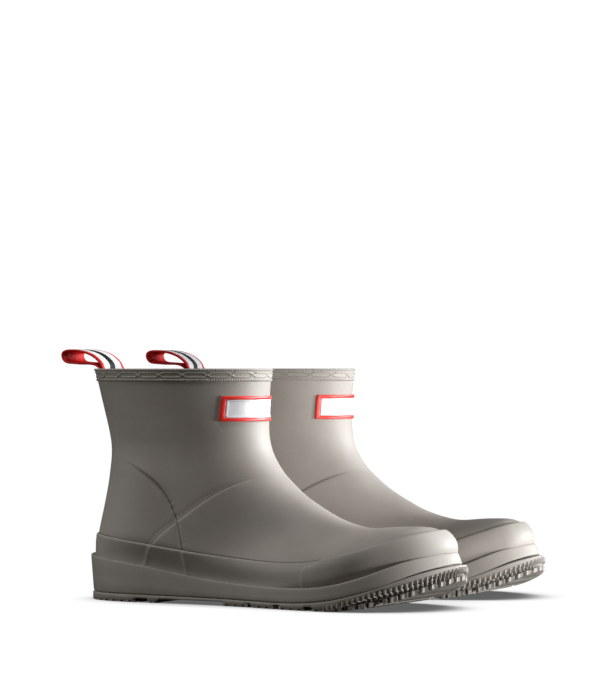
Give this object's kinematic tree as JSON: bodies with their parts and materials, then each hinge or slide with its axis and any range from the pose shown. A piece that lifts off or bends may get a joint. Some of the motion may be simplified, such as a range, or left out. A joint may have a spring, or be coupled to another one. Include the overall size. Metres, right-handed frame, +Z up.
{
  "type": "pair of deck boots",
  "caption": "Pair of short rubber deck boots with a ribbed collar, flat sprung sole, badge and striped webbing pull loop.",
  "frame": {"origin": "on the ground under the centre of the pair's bounding box", "axes": "+X towards the toes, +Y from the right boot to the left boot, +Z up"},
  "size_m": [0.3032, 0.2348, 0.1702],
  "materials": {
    "upper_rubber": "matte",
    "trim_rubber": "matte",
    "sole_rubber": "matte",
    "lining_knit": "knitted",
    "insole_fibreboard": "matte",
    "footbed_foam": "brushed",
    "webbing": "woven",
    "badge_red": "satin",
    "badge_white": "satin"
  },
  "bodies": {
    "right_boot": {"right_upper": "upper_rubber", "right_lining": "lining_knit", "right_collar_band": "trim_rubber", "right_rand": "trim_rubber", "right_toe_cap": "trim_rubber", "right_heel_counter": "upper_rubber", "right_vamp_panel": "upper_rubber", "right_insole_board": "insole_fibreboard", "right_footbed": "footbed_foam", "right_midsole": "sole_rubber", "right_outsole": "sole_rubber", "right_badge_frame": "badge_red", "right_badge_plate": "badge_white", "right_strap_ends": "webbing", "right_strap_patch": "lining_knit"},
    "right_loop": {"right_pull_loop": "webbing"},
    "left_boot": {"left_upper": "upper_rubber", "left_lining": "lining_knit", "left_collar_band": "trim_rubber", "left_rand": "trim_rubber", "left_toe_cap": "trim_rubber", "left_heel_counter": "upper_rubber", "left_vamp_panel": "upper_rubber", "left_insole_board": "insole_fibreboard", "left_footbed": "footbed_foam", "left_midsole": "sole_rubber", "left_outsole": "sole_rubber", "left_badge_frame": "badge_red", "left_badge_plate": "badge_white", "left_strap_ends": "webbing", "left_strap_patch": "lining_knit"},
    "left_loop": {"left_pull_loop": "webbing"}
  },
  "joints": [
    {"name": "left_boot_aside", "type": "slide", "parent": "right_boot", "child": "left_boot", "axis": [0, 1, 0], "range_m": [0, 0.3]},
    {"name": "right_loop_fold", "type": "hinge", "parent": "right_boot", "child": "right_loop", "pos_m": [-0.11975, -0.0559, 0.1597], "axis": [0.0471, 0.9989, 0], "range_deg": [-10, 100], "stiffness_Nm_per_rad": 0.05, "springref_deg": 0.57},
    {"name": "left_loop_fold", "type": "hinge", "parent": "left_boot", "child": "left_loop", "pos_m": [-0.11375, 0.0559, 0.1597], "axis": [-0.0471, 0.9989, 0], "range_deg": [-10, 100], "stiffness_Nm_per_rad": 0.05, "springref_deg": 0.57}
  ]
}
